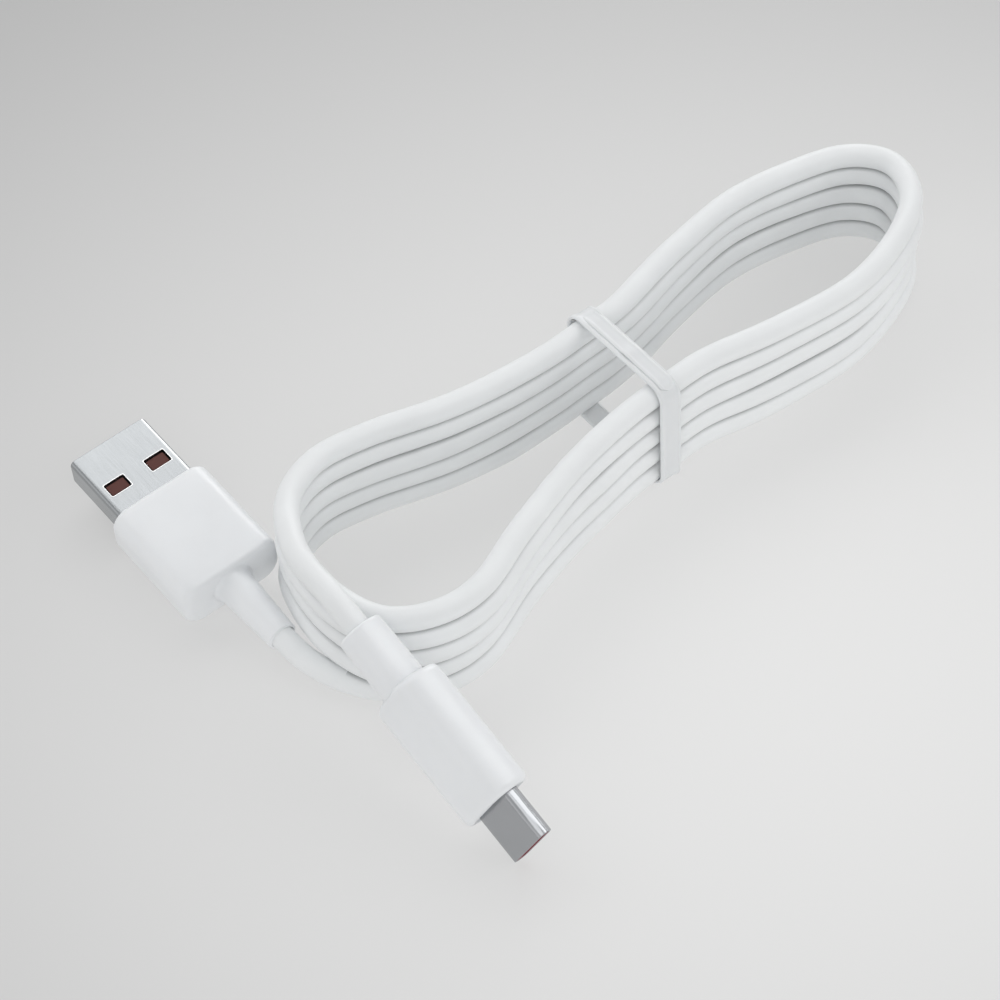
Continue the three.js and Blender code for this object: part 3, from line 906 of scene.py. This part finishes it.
def tie_tail():
    """The strip's free end lies on the band, from its far corner to half-way round its near one."""
    ply = 0.25  # how far the tail lies above the band
    buckle, buckle_at, buckle_spread = 0.16, 0.55, 0.06  # a slight hump in it
    reach = tie_half_span - tie_corner
    settled = 0.1  # the share of its length over which it rises onto the band
    straight = [(y, tie_high) for y in np.linspace(reach, -reach, 40)]
    bend_start = tie_corner_steps + 2
    line = np.array(straight + tie_loop()[bend_start:bend_start + tie_corner_steps // 2])
    tail = []
    for (y, z), (ty, tz), part in zip(line, tangents(line), np.linspace(0, 1, len(line))):
        lift = ply * ease(part / settled) + buckle * hump(part, buckle_at, buckle_spread)
        tail.append((y + tz * lift, z - ty * lift))
    return tail


def strip_section(ribs):
    """Half the strip's thickness at places across its width, thinner towards its rounded edges."""
    edge_from, thinnest = 0.88, 0.15
    profile = []
    for place in np.linspace(-1, 1, 41):
        rib = sum(height * hump(place, at, spread) for at, spread, height in ribs)
        past = max(0.0, (abs(place) - edge_from) / (1 - edge_from))
        edge = math.sqrt(max(0.0, 1 - past**2))
        profile.append((place, (tie_half_thickness + rib) * (thinnest + (1 - thinnest) * edge)))
    return profile


def strip(name, line, width, ribs, closed, shift=0.0, round_end=0.0):
    """A ribbed strip along a line in the y-z plane, its width along x; its last end may be rounded."""
    p = np.array(line, float)
    tangent = np.roll(p, -1, axis=0) - np.roll(p, 1, axis=0) if closed else np.gradient(p, axis=0)
    tangent /= np.linalg.norm(tangent, axis=1)[:, None]
    along = lengths(p)
    profile = strip_section(ribs)
    outline = profile + [(place, -half) for place, half in profile[::-1]]
    end_width = 0.25  # the share of its width that a rounded end has at its tip
    rings = []
    for (y, z), (ty, tz), at in zip(p, tangent, along):
        half = width / 2
        if round_end:
            to_end = min(1.0, (along[-1] - at) / round_end)
            half *= end_width + (1 - end_width) * math.sqrt(1 - (1 - to_end) ** 2)
        rings.append([[shift + place * half, y + tz * reach, z - ty * reach] for place, reach in outline])
    return loft(name, rings, caps=not closed, closed=closed, sharp=60)


def make_tie():
    """The band goes round the hank; its tail is narrower and lies a little to one side on it."""
    place = Matrix.Rotation(tie_turn, 4, "Z")
    band = strip("tie_band", tie_loop(), tie_width, band_ribs, closed=True)
    tail = strip("tie_tail", tie_tail(), 0.7 * tie_width, tail_ribs, closed=False, shift=0.15, round_end=1.1)
    dress(in_plug(band, place), "tie_strip", "tie", "cord_tie")
    dress(in_plug(tail, place), "tie_strip", "tie")


make_tie()


# ---------------------------------------------------------------- CAD pieces that stay as they are
def dress_kept_nodes():
    slots = {part["node"]: part["material_slot"] for part in record["subparts"]}
    for name, thing in frame["nodes"].items():
        if not thing.hide_render:
            dress(thing, slots[name])


dress_kept_nodes()


# ---------------------------------------------------------------- floor and light
def make_floor():
    size = 1.5
    corners = [(-size, -size, 0), (size, -size, 0), (size, size, 0), (-size, size, 0)]
    floor = new_object("floor", corners, [(0, 1, 2, 3)])
    floor.data.materials.append(floor_material())


def area_light(name, place, target, size, power, gloss_only=False):
    """A soft lamp that the camera doesn't see; a gloss_only one shows in reflections and nowhere else."""
    lamp = bpy.data.lights.new(name, "AREA")
    lamp.shape = "RECTANGLE"
    lamp.size, lamp.size_y = size
    lamp.energy = power
    thing = bpy.data.objects.new(name, lamp)
    thing.location = place
    thing.visible_camera = False
    thing.visible_diffuse = not gloss_only
    aim(thing, Vector(target))
    bpy.context.scene.collection.objects.link(thing)


def make_sky():
    """A tent round the table: white low down on all sides, and darkening towards its top."""
    world = bpy.data.worlds.new("studio")
    bpy.context.scene.world = world
    world.use_nodes = True
    nodes, links = world.node_tree.nodes, world.node_tree.links
    place = nodes.new("ShaderNodeTexCoord")
    split = nodes.new("ShaderNodeSeparateXYZ")
    ramp = nodes.new("ShaderNodeValToRGB")
    ramp.color_ramp.elements[0].position = 0.0
    ramp.color_ramp.elements[0].color = (1.0, 1.0, 1.0, 1)
    ramp.color_ramp.elements[1].position = 1.0
    ramp.color_ramp.elements[1].color = (0.16, 0.165, 0.17, 1)
    links.new(place.outputs["Generated"], split.inputs["Vector"])
    links.new(split.outputs["Z"], ramp.inputs["Fac"])
    links.new(ramp.outputs["Color"], nodes["Background"].inputs["Color"])
    nodes["Background"].inputs["Strength"].default_value = 1.1


make_floor()
make_sky()
area_light("front", (-0.43, -0.40, 0.66), (-0.02, 0, 0), size=(0.6, 0.6), power=1.3)
area_light("back_panel", (0.18, 0.54, 0.60), (-0.03, 0, 0), size=(1.3, 0.5), power=3.0)
area_light("top_gloss", (0.17, -0.16, 0.55), (-0.06, -0.04, 0), size=(0.55, 0.7), power=2.3, gloss_only=True)
area_light("right", (0.38, -0.48, 0.36), (-0.03, -0.02, 0), size=(0.5, 0.4), power=0.6)
area_light("edge_gloss", (0.50, 0.34, 0.24), (-0.06, 0.03, 0), size=(0.35, 0.25), power=0.8, gloss_only=True)
bpy.context.scene.view_settings.view_transform = "Standard"

bpy.context.view_layer.update()
